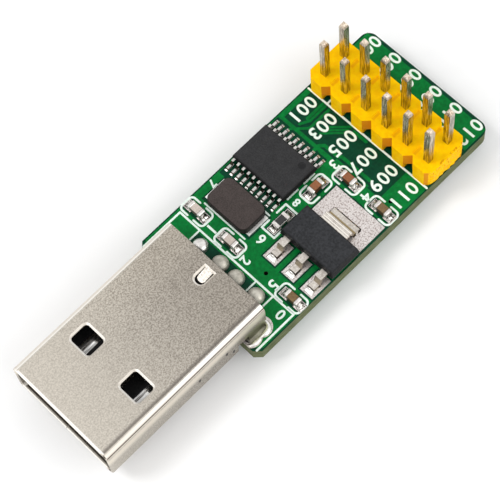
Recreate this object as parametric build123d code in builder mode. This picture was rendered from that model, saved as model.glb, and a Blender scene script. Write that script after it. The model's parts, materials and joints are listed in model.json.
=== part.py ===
"""Adapter board with a flat metal plug at one end and a double pin header at the other.

Lengths are millimetres. X runs from the mouth of the plug to the header, Y runs across
the board and Z is up. The origin is under the middle of the whole object, level with
the ends of the header's tails, which are its lowest points.
"""

import math
import os

from build123d import *

# Circuit board
board_length = 30.2
board_thickness = 1.6
board_inset = 0.02
board_far_radius = 1.0
board_near_cut = 0.6
via_diameter = 0.4

# Pin header: two rows of square pins in one moulding
pin_pitch = 2.54
pin_columns = 6
pin_rows = 2
pin_side = 0.64
pin_above = 5.9
pin_below = 3.0
pin_neck_height = 0.35
pin_neck_slope = 15
pin_crown_height = 0.18
pin_crown_slope = 38
pin_hole_diameter = 1.0
housing_height = 2.54
housing_corner_cut = 0.6
housing_channel_width = 1.1
housing_channel_height = 0.8
housing_mark_length = 1.0
housing_mark_width = 0.45
housing_mark_depth = 0.06
header_from_far_edge = 5.77

# Plug shell: one folded sheet, open at the mouth
plug_reach = 16.05
shell_width = 12.0
shell_height = 4.5
shell_wall = 0.3
shell_corner = 0.7
shell_sink = 0.95
mouth_chamfer = 0.1
window_length = 2.0
window_width = 2.4
window_corner = 0.35
window_rim = 0.18
window_from_mouth = 6.24
window_from_side = 1.72
side_relief = 0.7
side_relief_radius = 1.0
side_clearance = 0.75
seam_gap = 0.08
seam_key_length = 2.4
seam_key_depth = 0.7
seam_key_slant = 0.25
lance_from_rear = 0.75
lance_length = 1.6
lance_width = 1.05
lance_end_gap = 0.3
lance_side_gap = 0.09
lance_tip_radius = 0.35
lance_drop = 0.35

# Tabs that lock the shell into the board
tab_length = 2.05
tab_from_rear = 0.1
tab_out = 0.9
tab_tip_cut = 0.35
slot_room = 0.45
slot_width = 1.05
slot_shift = 0.15
slot_outward = 0.1
slot_from_edge = 0.23

# Insulator inside the shell
insulator_fit = 0.05
tongue_setback = 0.4
tongue_thickness = 1.85
block_from_mouth = 11.9
block_rear_gap = 0.35
block_board_gap = 0.2

# Plug contacts
contact_thickness = 0.25
contact_width = 1.0
contact_proud = 0.05
contact_groove_width = 0.14
contact_groove_margin = 0.5
contact_inner_spacing = 2.0
contact_outer_spacing = 7.0
contact_inner_start = 2.2
contact_outer_start = 1.2
tail_from_rear = 1.04
tail_width = 0.7
tail_out = 0.9
tail_bend = 0.25
tail_above_board = 0.4
tail_drop_from_rear = 1.6
tail_hole_diameter = 0.95

# Solder
dome_sides = 16
dome_radius = 0.82
dome_side_height = 0.45
dome_side_slope = 17
dome_crown_height = 0.27
dome_crown_slope = 50
cone_sides = 14
cone_radius = 0.85
cone_slope = 25
cone_height = 0.75
tab_solder_recess = 0.3
tab_solder_margin = 0.15
tab_solder_width = 1.9
tab_solder_corner = 0.5
tab_solder_height = 0.45
tab_solder_slope = 50
small_solder_margin = 0.08
small_solder_height = 0.4
small_solder_slope = 40

# Tinned pads
pad_thickness = 0.05
slot_pad_radius = 1.05
slot_pad_spacing = 1.3

# Twenty-lead chip
chip_from_header = 10.32
chip_across = 4.12
chip_length = 6.5
chip_width = 4.4
chip_height = 1.0
chip_standoff = 0.05
chip_draft = 12
chip_corner = 0.08
chip_leads_a_side = 10
chip_lead_pitch = 0.65
chip_lead_width = 0.24
chip_lead_thickness = 0.15
chip_lead_span = 6.4
chip_foot_length = 0.5
chip_shoulder = 0.28
chip_lead_root = 0.3
chip_pad_length = 1.02
chip_pad_width = 0.3
chip_pad_span = 6.93
dimple_diameter = 0.75
dimple_depth = 0.06
dimple_from_side = 0.87
dimple_from_end = 1.05

# Voltage regulator with three leads and a wide tab
regulator_from_header = 13.2
regulator_across = -4.36
regulator_length = 6.45
regulator_width = 3.5
regulator_height = 1.6
regulator_standoff = 0.05
regulator_draft = 10
regulator_corner = 0.1
regulator_lead_pitch = 2.3
regulator_lead_width = 0.7
regulator_lead_thickness = 0.28
regulator_lead_span = 7.0
regulator_foot_length = 0.75
regulator_shoulder = 0.75
regulator_lead_root = 0.5
regulator_tab_width = 3.1
regulator_pad_length = 2.4
regulator_pad_width = 1.5
regulator_pad_reach = 4.17
regulator_tab_pad_length = 3.7
regulator_tab_pad_width = 6.0
regulator_tab_pad_reach = 5.27

# Crystal in a moulded case
crystal_from_header = 15.695
crystal_across = 3.68
crystal_length = 5.0
crystal_width = 3.2
crystal_height = 0.85
crystal_corner = 0.4
crystal_edge = 0.12
crystal_terminal_width = 2.45
crystal_terminal_out = 0.32
crystal_terminal_under = 0.8
crystal_terminal_thickness = 0.12

# Small ceramic capacitors and the resistor share one size of outline
chip_part_length = 1.55
chip_part_width = 0.8
capacitor_height = 0.8
capacitor_terminal = 0.36
capacitor_edge = 0.07
resistor_height = 0.45
resistor_terminal = 0.32
resistor_coat = 0.08
resistor_coat_margin = 0.06
small_pad_length = 0.95
small_pad_width = 0.95
small_pad_gap = 0.8

# Places of the small parts: distance in front of the header, distance across, and turn
capacitor_by_chip = (9.43, -0.2, 0)
capacitor_by_tab = (6.83, -1.8, 90)
capacitor_by_header = (6.93, -6.12, 90)
capacitor_by_slot = (18.55, -6.2, 90)
capacitor_by_crystal_far = (18.42, 6.05, 90)
capacitor_by_crystal_near = (18.52, 1.68, 90)
resistor_place = (13.93, -0.2, 0)
via_places = ((18.4, -2.7), (5.73, -5.97))

# Levels and stations worked out from the sizes above
board_width = pin_columns * pin_pitch - 2 * board_inset
overall_length = plug_reach + board_length
mouth_x = -overall_length / 2
board_near_x = mouth_x + plug_reach
board_far_x = board_near_x + board_length
header_x = board_far_x - header_from_far_edge
board_top_z = pin_below
board_bottom_z = board_top_z - board_thickness
housing_top_z = board_top_z + housing_height
shell_bottom_z = board_top_z - shell_sink
shell_top_z = shell_bottom_z + shell_height
shell_floor_z = shell_bottom_z + shell_wall
shell_ceiling_z = shell_top_z - shell_wall
shell_mid_z = (shell_top_z + shell_bottom_z) / 2
shell_inner_width = shell_width - 2 * shell_wall
side_edge_z = board_top_z + side_clearance
slot_length = tab_length + slot_room
slot_x = board_near_x + slot_from_edge + slot_length / 2
slot_y = (shell_width - shell_wall) / 2 + slot_outward
tab_x = slot_x + slot_shift
shell_rear_x = tab_x + tab_length / 2 + tab_from_rear
shell_length = shell_rear_x - mouth_x
window_spacing = shell_width - 2 * window_from_side - window_width
lance_root_x = shell_rear_x - lance_from_rear
lance_end_x = lance_root_x - lance_length
tail_x = shell_rear_x + tail_from_rear
tongue_top_z = shell_floor_z + tongue_thickness
contact_top_z = tongue_top_z + contact_proud
contact_mid_z = contact_top_z - contact_thickness / 2
blade_end_x = mouth_x + block_from_mouth + contact_width
drop_x = shell_rear_x - tail_drop_from_rear
tail_exit_z = board_top_z + tail_above_board
pad_top_z = board_top_z + pad_thickness
slack = 1.0
tolerance = 0.01


def save(block, name):
    """Label the finished piece and write it under its own name."""
    block.part.label = name
    export_step(block.part, f"parts/{name}.step")


def on_board(place):
    """Turn a distance in front of the header and one across it into a location."""
    return Location((header_x - place[0], place[1], 0), (0, 0, place[2] if len(place) > 2 else 0))


def lead_profile(body_edge, root, shoulder, span, foot, level, thickness):
    """Section of a bent lead, drawn from inside the body out to the end of its foot."""
    rest = pad_top_z + thickness / 2
    with BuildSketch(Plane.XZ) as section:
        with BuildLine():
            Polyline((body_edge - root, level),
                     (body_edge + shoulder, level),
                     (span / 2 - foot, rest),
                     (span / 2, rest))
        trace(line_width=thickness)
    return section.sketch


def contact_places():
    """Distance across and blade start of each plug contact."""
    outer = contact_outer_spacing / 2
    inner = contact_inner_spacing / 2
    return (
        (outer, contact_outer_start),
        (inner, contact_inner_start),
        (-inner, contact_inner_start),
        (-outer, contact_outer_start),
    )


os.makedirs("parts", exist_ok=True)

# Circuit board: rounded at the header end, corners cut off at the plug end
with BuildPart() as circuit_board:
    with BuildSketch(Plane.XY.offset(board_bottom_z)) as board_outline:
        with Locations(((board_near_x + board_far_x) / 2, 0)):
            Rectangle(board_length, board_width)
        chamfer(board_outline.vertices().group_by(Axis.X)[0], board_near_cut)
        fillet(board_outline.vertices().group_by(Axis.X)[-1], board_far_radius)
    extrude(amount=board_thickness)
    with BuildSketch(Plane.XY.offset(board_bottom_z)):
        with Locations((header_x, 0)):
            with GridLocations(pin_pitch, pin_pitch, pin_rows, pin_columns):
                Circle(pin_hole_diameter / 2)
        for across, start in contact_places():
            with Locations((tail_x, across)):
                Circle(tail_hole_diameter / 2)
        with Locations((slot_x, slot_y), (slot_x, -slot_y)):
            SlotOverall(slot_length, slot_width)
        for ahead, across in via_places:
            with Locations((header_x - ahead, across)):
                Circle(via_diameter / 2)
    extrude(amount=board_thickness, mode=Mode.SUBTRACT)
save(circuit_board, "circuit_board")

# Plug shell: a folded tube, cut back below where it meets the board
with BuildPart() as plug_shell:
    with BuildSketch(Plane.YZ.offset(mouth_x)):
        with Locations((0, shell_mid_z)):
            RectangleRounded(shell_width, shell_height, shell_corner)
            RectangleRounded(
                shell_inner_width,
                shell_height - 2 * shell_wall,
                shell_corner - shell_wall,
                mode=Mode.SUBTRACT,
            )
    extrude(amount=shell_length)
    mouth_edges = plug_shell.faces().sort_by(Axis.X)[0].edges()
    chamfer(mouth_edges, mouth_chamfer)

    # Latch windows, two above and two below, and the opening round the lance
    with BuildSketch(Plane.XY.offset(shell_bottom_z)):
        with Locations((mouth_x + window_from_mouth, 0)):
            with GridLocations(0, window_spacing, 1, 2):
                RectangleRounded(window_length, window_width, window_corner)
    extrude(amount=shell_height, mode=Mode.SUBTRACT)
    with BuildSketch(Plane.XY.offset(shell_ceiling_z)) as lance_opening:
        with Locations((lance_root_x, 0)):
            Rectangle(lance_length, lance_width, align=(Align.MAX, Align.CENTER))
        fillet(lance_opening.vertices().group_by(Axis.X)[0], lance_width / 2.2)
    extrude(amount=shell_wall, mode=Mode.SUBTRACT)
    rims = plug_shell.faces().sort_by(Axis.Z)[-1].inner_wires().edges()
    chamfer(rims, window_rim)

    # The lance itself: a tongue bent down from its root, free towards the mouth
    lance_half = lance_width / 2 - lance_side_gap
    with BuildSketch(Plane.XZ.offset(lance_half)):
        with BuildLine():
            Polyline((lance_root_x + window_rim, shell_top_z),
                     (lance_end_x + lance_end_gap, shell_top_z - lance_drop),
                     (lance_end_x + lance_end_gap, shell_ceiling_z - lance_drop),
                     (lance_root_x + window_rim, shell_ceiling_z),
                     (lance_root_x + window_rim, shell_top_z))
        make_face()
    extrude(amount=-2 * lance_half)
    lance_tip_x = lance_end_x + lance_end_gap
    upright_edges = plug_shell.edges().filter_by(Axis.Z)
    fillet(upright_edges.filter_by_position(Axis.X, lance_tip_x - tolerance, lance_tip_x + tolerance),
           lance_tip_radius)

    # The lower part ends short of the board, with a rounded corner in each side
    relief_x = board_near_x - side_relief
    with BuildSketch(Plane.XZ.offset(-shell_width / 2)):
        with BuildLine():
            Line((relief_x - side_relief_radius, shell_bottom_z - slack),
                 (relief_x - side_relief_radius, shell_bottom_z))
            RadiusArc((relief_x - side_relief_radius, shell_bottom_z),
                      (relief_x, shell_bottom_z + side_relief_radius),
                      -side_relief_radius)
            Polyline((relief_x, shell_bottom_z + side_relief_radius),
                     (relief_x, side_edge_z),
                     (shell_rear_x + slack, side_edge_z),
                     (shell_rear_x + slack, shell_bottom_z - slack),
                     (relief_x - side_relief_radius, shell_bottom_z - slack))
        make_face()
    extrude(amount=shell_width, mode=Mode.SUBTRACT)

    # Locking tabs carry on down from the side walls through the board
    tab_height = side_edge_z - board_bottom_z + tab_out
    for side in (1, -1):
        with BuildSketch(Plane.XZ.offset(-side * shell_width / 2)) as tab_outline:
            with Locations((tab_x, side_edge_z - tab_height / 2)):
                Rectangle(tab_length, tab_height)
            chamfer(tab_outline.vertices().group_by(Axis.Y)[0], tab_tip_cut)
        extrude(amount=side * shell_wall)

    # Seam where the sheet's two edges meet underneath, keyed twice
    seam_end_x = relief_x
    key_span = (seam_end_x - mouth_x) / 3
    with BuildSketch(Plane.XY.offset(shell_bottom_z)):
        with BuildLine():
            seam = [(mouth_x - slack, 0)]
            for step in (1, 2):
                key_x = mouth_x + step * key_span
                half = seam_key_length / 2
                seam.append((key_x - half, 0))
                seam.append((key_x - half - seam_key_slant, seam_key_depth))
                seam.append((key_x + half + seam_key_slant, seam_key_depth))
                seam.append((key_x + half, 0))
            seam.append((seam_end_x + slack, 0))
            Polyline(*seam)
        trace(line_width=seam_gap)
    extrude(amount=shell_wall, mode=Mode.SUBTRACT)
save(plug_shell, "plug_shell")

# Plug contacts: a grooved blade on the tongue, a drop inside the block and a tail
contact_blocks = []
for number, (across, start) in enumerate(contact_places(), 1):
    with BuildPart() as plug_contact:
        with BuildSketch(Plane.XY.offset(contact_top_z - contact_thickness)):
            with Locations((mouth_x + start, across)):
                Rectangle(blade_end_x - mouth_x - start, contact_width,
                          align=(Align.MIN, Align.CENTER))
        extrude(amount=contact_thickness)
        with BuildSketch(Plane.XY.offset(contact_top_z)):
            with Locations((mouth_x + start + contact_groove_margin, across)):
                Rectangle(block_from_mouth - start - contact_groove_margin,
                          contact_groove_width, align=(Align.MIN, Align.CENTER))
        extrude(amount=-contact_proud, mode=Mode.SUBTRACT)
        with BuildSketch(Plane.XZ.offset(-across)):
            with BuildLine():
                FilletPolyline((blade_end_x - contact_width, contact_mid_z),
                               (drop_x, contact_mid_z),
                               (drop_x, tail_exit_z),
                               (tail_x, tail_exit_z),
                               (tail_x, board_bottom_z - tail_out),
                               radius=(0, 0, tail_bend))
            trace(line_width=contact_thickness)
        extrude(amount=tail_width / 2, both=True)
    contact_blocks.append(plug_contact)
    save(plug_contact, f"plug_contact_{number}")

# Insulator: tongue in the lower half of the mouth, full block behind it
with BuildPart() as plug_insulator:
    inner_width = shell_inner_width - 2 * insulator_fit
    inner_height = shell_height - 2 * shell_wall - 2 * insulator_fit
    block_rear_x = shell_rear_x - block_rear_gap
    with BuildSketch(Plane.YZ.offset(mouth_x + block_from_mouth)) as block_section:
        with Locations((0, shell_mid_z)):
            RectangleRounded(inner_width, inner_height, shell_corner - shell_wall)
    extrude(amount=block_rear_x - mouth_x - block_from_mouth)
    with BuildSketch(Plane.YZ.offset(mouth_x + tongue_setback)) as tongue_section:
        with Locations((0, shell_floor_z + insulator_fit)):
            Rectangle(inner_width, tongue_thickness - insulator_fit,
                      align=(Align.CENTER, Align.MIN))
        fillet(tongue_section.vertices().group_by(Axis.Y)[0], shell_corner - shell_wall)
    extrude(amount=block_from_mouth - tongue_setback)
    with BuildSketch(Plane.XZ.offset(-shell_width / 2)):
        with Locations((board_near_x - block_board_gap, pad_top_z)):
            Rectangle(shell_length, board_thickness + pad_thickness,
                      align=(Align.MIN, Align.MAX))
    extrude(amount=shell_width, mode=Mode.SUBTRACT)
    with BuildSketch(Plane.XY.offset(shell_ceiling_z - insulator_fit)):
        with Locations((lance_root_x + window_rim, 0)):
            Rectangle(lance_length + window_rim + insulator_fit, lance_width,
                      align=(Align.MAX, Align.CENTER))
    extrude(amount=-lance_drop, mode=Mode.SUBTRACT)
    for block in contact_blocks:
        add(block.part, mode=Mode.SUBTRACT)
save(plug_insulator, "plug_insulator")

# Solder at the contact tails: a round dome above the board and a cone below it
dome_layers = (
    (dome_side_height, dome_side_slope),
    (dome_crown_height, dome_crown_slope),
)
with BuildPart() as contact_solder:
    layer_z = board_top_z
    layer_radius = dome_radius
    for layer_height, layer_slope in dome_layers:
        with BuildSketch(Plane.XY.offset(layer_z)):
            for across, start in contact_places():
                with Locations((tail_x, across)):
                    RegularPolygon(layer_radius, dome_sides, major_radius=False)
        extrude(amount=layer_height, taper=layer_slope)
        layer_z += layer_height
        layer_radius -= layer_height * math.tan(math.radians(layer_slope))
    with BuildSketch(Plane.XY.offset(board_bottom_z)):
        for across, start in contact_places():
            with Locations((tail_x, across)):
                RegularPolygon(cone_radius, cone_sides)
    extrude(amount=cone_height, dir=(0, 0, -1), taper=cone_slope)
    for block in contact_blocks:
        add(block.part, mode=Mode.SUBTRACT)
save(contact_solder, "contact_solder")

# Solder in the two slots: round each tab only, low on top and heaped underneath
tab_solder_length = tab_length + 2 * tab_solder_margin
with BuildPart() as shell_solder:
    with BuildSketch(Plane.XY.offset(board_bottom_z)):
        with Locations((slot_x, slot_y), (slot_x, -slot_y)):
            SlotOverall(slot_length, slot_width)
        with Locations((tab_x - tab_length / 2 - tab_solder_margin, 0)):
            Rectangle(slot_length, board_width, align=(Align.MAX, Align.CENTER),
                      mode=Mode.SUBTRACT)
    extrude(amount=board_thickness - tab_solder_recess)
    with BuildSketch(Plane.XY.offset(board_bottom_z)) as heap_outline:
        with Locations((tab_x, slot_y), (tab_x, -slot_y)):
            Rectangle(tab_solder_length, tab_solder_width)
        chamfer(heap_outline.vertices(), tab_solder_corner)
    extrude(amount=tab_solder_height, dir=(0, 0, -1), taper=tab_solder_slope)
    add(plug_shell.part, mode=Mode.SUBTRACT)
save(shell_solder, "shell_solder")

# Header moulding: one cell a column, corners cut, open channels under the joins
with BuildSketch() as housing_cell:
    Rectangle(pin_rows * pin_pitch, pin_pitch)
    chamfer(housing_cell.vertices(), housing_corner_cut)
with BuildPart() as header_housing:
    with BuildSketch(Plane.XY.offset(board_top_z)):
        with Locations((header_x, 0)):
            with GridLocations(0, pin_pitch, 1, pin_columns):
                add(housing_cell.sketch)
            with GridLocations(pin_pitch, pin_pitch, pin_rows, pin_columns):
                Rectangle(pin_side, pin_side, mode=Mode.SUBTRACT)
    extrude(amount=housing_height)
    with BuildSketch(Plane.XY.offset(board_top_z)):
        with Locations((header_x, 0)):
            with GridLocations(0, pin_pitch, 1, pin_columns - 1):
                Rectangle(pin_rows * pin_pitch, housing_channel_width)
    extrude(amount=housing_channel_height, mode=Mode.SUBTRACT)
    with BuildSketch(Plane.XY.offset(housing_top_z)):
        with Locations((header_x, 0)):
            with GridLocations(pin_pitch, pin_pitch, pin_rows, pin_columns - 1):
                Rectangle(housing_mark_length, housing_mark_width)
    extrude(amount=-housing_mark_depth, mode=Mode.SUBTRACT)
save(header_housing, "header_housing")

# Header pins: square wire, each end drawn in and blunted
pin_blocks = []
pin_tip_height = pin_neck_height + pin_crown_height
pin_length = pin_below + housing_height + pin_above
for row in range(pin_rows):
    for column in range(pin_columns):
        pin_x = header_x + (row - (pin_rows - 1) / 2) * pin_pitch
        pin_y = ((pin_columns - 1) / 2 - column) * pin_pitch
        with BuildPart() as header_pin:
            with BuildSketch(Plane.XY.offset(pin_tip_height)):
                with Locations((pin_x, pin_y)):
                    Rectangle(pin_side, pin_side)
            extrude(amount=pin_length - 2 * pin_tip_height)
            for end in (0, -1):
                extrude(header_pin.faces().sort_by(Axis.Z)[end],
                        amount=pin_neck_height, taper=pin_neck_slope)
                extrude(header_pin.faces().sort_by(Axis.Z)[end],
                        amount=pin_crown_height, taper=pin_crown_slope)
        pin_blocks.append(header_pin)
        save(header_pin, f"header_pin_{len(pin_blocks):02d}")

# Header solder: a cone round each tail under the board
with BuildPart() as header_solder:
    with BuildSketch(Plane.XY.offset(board_bottom_z)):
        with Locations((header_x, 0)):
            with GridLocations(pin_pitch, pin_pitch, pin_rows, pin_columns):
                RegularPolygon(cone_radius, cone_sides)
    extrude(amount=cone_height, dir=(0, 0, -1), taper=cone_slope)
    for block in pin_blocks:
        add(block.part, mode=Mode.SUBTRACT)
save(header_solder, "header_solder")

# Chip leads: one bent lead, then ten a side
chip_x = header_x - chip_from_header
chip_level = pad_top_z + chip_standoff + chip_height / 2
chip_section = lead_profile(chip_width / 2, chip_lead_root, chip_shoulder, chip_lead_span,
                            chip_foot_length, chip_level, chip_lead_thickness)
chip_lead_blocks = []
for side, turn in (("plug_side", 180), ("header_side", 0)):
    with BuildPart() as chip_leads:
        with Locations(Location((chip_x, chip_across, 0), (0, 0, turn))):
            with GridLocations(0, chip_lead_pitch, 1, chip_leads_a_side):
                add(extrude(chip_section, amount=chip_lead_width / 2, both=True,
                            mode=Mode.PRIVATE))
    chip_lead_blocks.append(chip_leads)
    save(chip_leads, f"chip_leads_{side}")

# Chip body: drafted from the middle both ways, with a pin one dimple
with BuildPart() as chip_body:
    with BuildSketch(Plane.XY.offset(chip_level)):
        with Locations((chip_x, chip_across)):
            Rectangle(chip_width, chip_length)
    extrude(amount=chip_height / 2, both=True, taper=chip_draft)
    chamfer(chip_body.faces().sort_by(Axis.Z)[-1].edges(), chip_corner)
    with BuildSketch(Plane.XY.offset(chip_level + chip_height / 2)):
        with Locations((chip_x + chip_width / 2 - dimple_from_side,
                        chip_across - chip_length / 2 + dimple_from_end)):
            Circle(dimple_diameter / 2)
    extrude(amount=-dimple_depth, mode=Mode.SUBTRACT)
    for block in chip_lead_blocks:
        add(block.part, mode=Mode.SUBTRACT)
save(chip_body, "chip_body")

# Regulator leads: the outer two end inside the body, the middle one carries on as the tab
regulator_x = header_x - regulator_from_header
regulator_level = pad_top_z + regulator_standoff + regulator_height / 2
outer_section = lead_profile(regulator_width / 2, regulator_lead_root, regulator_shoulder,
                             regulator_lead_span, regulator_foot_length, regulator_level,
                             regulator_lead_thickness)
frame_section = lead_profile(regulator_width / 2, regulator_width / 2, regulator_shoulder,
                             regulator_lead_span, regulator_foot_length, regulator_level,
                             regulator_lead_thickness)
regulator_metal = []
for number, step in enumerate((1, -1), 1):
    with BuildPart() as regulator_lead:
        with Locations(Location((regulator_x, regulator_across + step * regulator_lead_pitch, 0),
                                (0, 0, 180))):
            add(extrude(outer_section, amount=regulator_lead_width / 2, both=True,
                        mode=Mode.PRIVATE))
    regulator_metal.append(regulator_lead)
    save(regulator_lead, f"regulator_lead_{number}")
with BuildPart() as regulator_tab:
    with Locations(Location((regulator_x, regulator_across, 0), (0, 0, 180))):
        add(extrude(frame_section, amount=regulator_lead_width / 2, both=True, mode=Mode.PRIVATE))
    with Locations((regulator_x, regulator_across, 0)):
        add(extrude(frame_section, amount=regulator_tab_width / 2, both=True, mode=Mode.PRIVATE))
regulator_metal.append(regulator_tab)
save(regulator_tab, "regulator_tab")

# Regulator body
with BuildPart() as regulator_body:
    with BuildSketch(Plane.XY.offset(regulator_level)):
        with Locations((regulator_x, regulator_across)):
            Rectangle(regulator_width, regulator_length)
    extrude(amount=regulator_height / 2, both=True, taper=regulator_draft)
    chamfer(regulator_body.faces().sort_by(Axis.Z)[-1].edges(), regulator_corner)
    for block in regulator_metal:
        add(block.part, mode=Mode.SUBTRACT)
save(regulator_body, "regulator_body")

# Crystal: the case sits on two terminal plates
crystal_x = header_x - crystal_from_header
crystal_rest_z = pad_top_z + crystal_terminal_thickness
terminal_length = crystal_terminal_out + crystal_terminal_under
terminal_step = crystal_length + crystal_terminal_out - crystal_terminal_under
with BuildPart() as crystal_body:
    with BuildSketch(Plane.XY.offset(crystal_rest_z)):
        with Locations((crystal_x, crystal_across)):
            RectangleRounded(crystal_width, crystal_length, crystal_corner)
    extrude(amount=crystal_height)
    chamfer(crystal_body.faces().sort_by(Axis.Z)[-1].edges(), crystal_edge)
save(crystal_body, "crystal_body")
for number, side in enumerate((1, -1), 1):
    with BuildPart() as crystal_terminal:
        with BuildSketch(Plane.XY.offset(pad_top_z)):
            with Locations((crystal_x, crystal_across + side * terminal_step / 2)):
                Rectangle(crystal_terminal_width, terminal_length)
        extrude(amount=crystal_terminal_thickness)
    save(crystal_terminal, f"crystal_terminal_{number}")

# Small capacitors: a ceramic middle between two slightly larger end caps
capacitor_places = (
    capacitor_by_chip,
    capacitor_by_tab,
    capacitor_by_header,
    capacitor_by_slot,
    capacitor_by_crystal_far,
    capacitor_by_crystal_near,
)
capacitor_middle = chip_part_length - 2 * capacitor_terminal
end_blocks = []
for number, place in enumerate(capacitor_places, 1):
    with BuildPart() as capacitor_body:
        with BuildSketch(Plane.XY.offset(pad_top_z + capacitor_edge / 2)):
            with Locations(on_board(place)):
                Rectangle(capacitor_middle, chip_part_width - capacitor_edge)
        extrude(amount=capacitor_height - capacitor_edge)
    save(capacitor_body, f"capacitor_{number}_body")
    with BuildPart() as capacitor_ends:
        with BuildSketch(Plane.XY.offset(pad_top_z)):
            with Locations(on_board(place)):
                with GridLocations(chip_part_length - capacitor_terminal, 0, 2, 1):
                    Rectangle(capacitor_terminal, chip_part_width)
        extrude(amount=capacitor_height)
        chamfer(capacitor_ends.edges().filter_by(Axis.Z), capacitor_edge)
        chamfer(capacitor_ends.faces().group_by(Axis.Z)[-1].edges(), capacitor_edge)
    end_blocks.append(capacitor_ends)
    save(capacitor_ends, f"capacitor_{number}_ends")

# Resistor: a thin white ceramic, wrapped ends and a black coat on top
resistor_middle = chip_part_length - 2 * resistor_terminal
with BuildPart() as resistor_body:
    with BuildSketch(Plane.XY.offset(pad_top_z + resistor_coat)):
        with Locations(on_board(resistor_place)):
            Rectangle(resistor_middle, chip_part_width)
    extrude(amount=resistor_height - 2 * resistor_coat)
save(resistor_body, "resistor_body")
with BuildPart() as resistor_coat_film:
    with BuildSketch(Plane.XY.offset(pad_top_z + resistor_height - resistor_coat)):
        with Locations(on_board(resistor_place)):
            Rectangle(resistor_middle, chip_part_width - 2 * resistor_coat_margin)
    extrude(amount=resistor_coat)
save(resistor_coat_film, "resistor_coat")
with BuildPart() as resistor_ends:
    with BuildSketch(Plane.XY.offset(pad_top_z)):
        with Locations(on_board(resistor_place)):
            with GridLocations(chip_part_length - resistor_terminal, 0, 2, 1):
                Rectangle(resistor_terminal, chip_part_width)
    extrude(amount=resistor_height)
end_blocks.append(resistor_ends)
save(resistor_ends, "resistor_ends")

# Solder fillets between the small parts' ends and their pads
small_places = capacitor_places + (resistor_place,)
small_pad_step = small_pad_length + small_pad_gap
with BuildPart() as small_part_solder:
    for place in small_places:
        with BuildSketch(Plane.XY.offset(pad_top_z)):
            with Locations(on_board(place)):
                with GridLocations(small_pad_step, 0, 2, 1):
                    Rectangle(small_pad_length - 2 * small_solder_margin,
                              small_pad_width - 2 * small_solder_margin)
    extrude(amount=small_solder_height, taper=small_solder_slope)
    for block in end_blocks:
        add(block.part, mode=Mode.SUBTRACT)
save(small_part_solder, "small_part_solder")

# Tinned pads for every joint on the board's top
with BuildPart() as tinned_pads:
    with BuildSketch(Plane.XY.offset(board_top_z)):
        for place in small_places:
            with Locations(on_board(place)):
                with GridLocations(small_pad_step, 0, 2, 1):
                    Rectangle(small_pad_length, small_pad_width)
        with Locations((chip_x, chip_across)):
            with GridLocations(chip_pad_span - chip_pad_length, chip_lead_pitch,
                               2, chip_leads_a_side):
                Rectangle(chip_pad_length, chip_pad_width)
        with Locations((regulator_x - regulator_pad_reach, regulator_across)):
            with GridLocations(0, regulator_lead_pitch, 1, 3):
                Rectangle(regulator_pad_length, regulator_pad_width,
                          align=(Align.MIN, Align.CENTER))
        with Locations((regulator_x + regulator_tab_pad_reach, regulator_across)):
            Rectangle(regulator_tab_pad_length, regulator_tab_pad_width,
                      align=(Align.MAX, Align.CENTER))
        with Locations((crystal_x, crystal_across)):
            with GridLocations(0, terminal_step, 1, 2):
                Rectangle(crystal_terminal_width, terminal_length)
        with Locations((slot_x, slot_y), (slot_x, -slot_y)):
            with GridLocations(slot_pad_spacing, 0, 2, 1):
                Circle(slot_pad_radius)
        with Locations((slot_x, slot_y), (slot_x, -slot_y)):
            SlotOverall(slot_length, slot_width, mode=Mode.SUBTRACT)
        with Locations((board_near_x, 0)):
            Rectangle(slack, board_width, align=(Align.MAX, Align.CENTER), mode=Mode.SUBTRACT)
    extrude(amount=pad_thickness)
save(tinned_pads, "tinned_pads")
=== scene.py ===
# %% [markdown]
# # A small adapter board, from its solids to its looks
# The solids of this board come from a CAD program, and this script gives them
# their looks in Blender. The CAD shapes stay where they are: each gets a
# material made of nodes. What is too fine for the CAD model, such as the
# copper under the green lacquer, the printed lines and the soft shapes of
# solder, is added here. The first cell loads the solids and measures them,
# because almost every place below is worked out from a solid's own box.

# %% Load the solids
import json
from math import cos, pi, radians, sin
import bpy
import bmesh
from mathutils import Matrix, Vector, noise
from mathutils.geometry import delaunay_2d_cdt


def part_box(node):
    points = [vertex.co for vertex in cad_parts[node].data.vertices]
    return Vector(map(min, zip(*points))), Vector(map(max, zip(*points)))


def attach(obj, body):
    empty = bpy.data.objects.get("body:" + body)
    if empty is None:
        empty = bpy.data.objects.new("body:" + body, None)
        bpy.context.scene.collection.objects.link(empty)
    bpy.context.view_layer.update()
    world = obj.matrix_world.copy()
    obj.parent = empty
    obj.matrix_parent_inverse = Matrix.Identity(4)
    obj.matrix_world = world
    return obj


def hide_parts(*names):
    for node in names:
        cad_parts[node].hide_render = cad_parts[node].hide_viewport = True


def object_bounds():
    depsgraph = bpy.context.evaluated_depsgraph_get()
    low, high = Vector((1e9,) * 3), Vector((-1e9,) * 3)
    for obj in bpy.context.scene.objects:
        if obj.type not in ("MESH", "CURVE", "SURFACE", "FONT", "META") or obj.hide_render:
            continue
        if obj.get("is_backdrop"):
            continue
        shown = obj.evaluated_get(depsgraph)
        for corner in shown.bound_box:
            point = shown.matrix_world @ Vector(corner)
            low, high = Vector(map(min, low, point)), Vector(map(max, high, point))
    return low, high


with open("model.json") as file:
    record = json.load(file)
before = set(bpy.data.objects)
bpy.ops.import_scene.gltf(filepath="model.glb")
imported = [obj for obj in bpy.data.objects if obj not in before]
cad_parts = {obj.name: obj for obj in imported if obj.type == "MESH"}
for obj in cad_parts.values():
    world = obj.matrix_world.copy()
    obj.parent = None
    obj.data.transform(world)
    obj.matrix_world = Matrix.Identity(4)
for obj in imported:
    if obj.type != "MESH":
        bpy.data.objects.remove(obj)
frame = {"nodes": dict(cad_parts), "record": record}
cad_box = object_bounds()
nodes = frame["nodes"]
MM = 0.001


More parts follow.
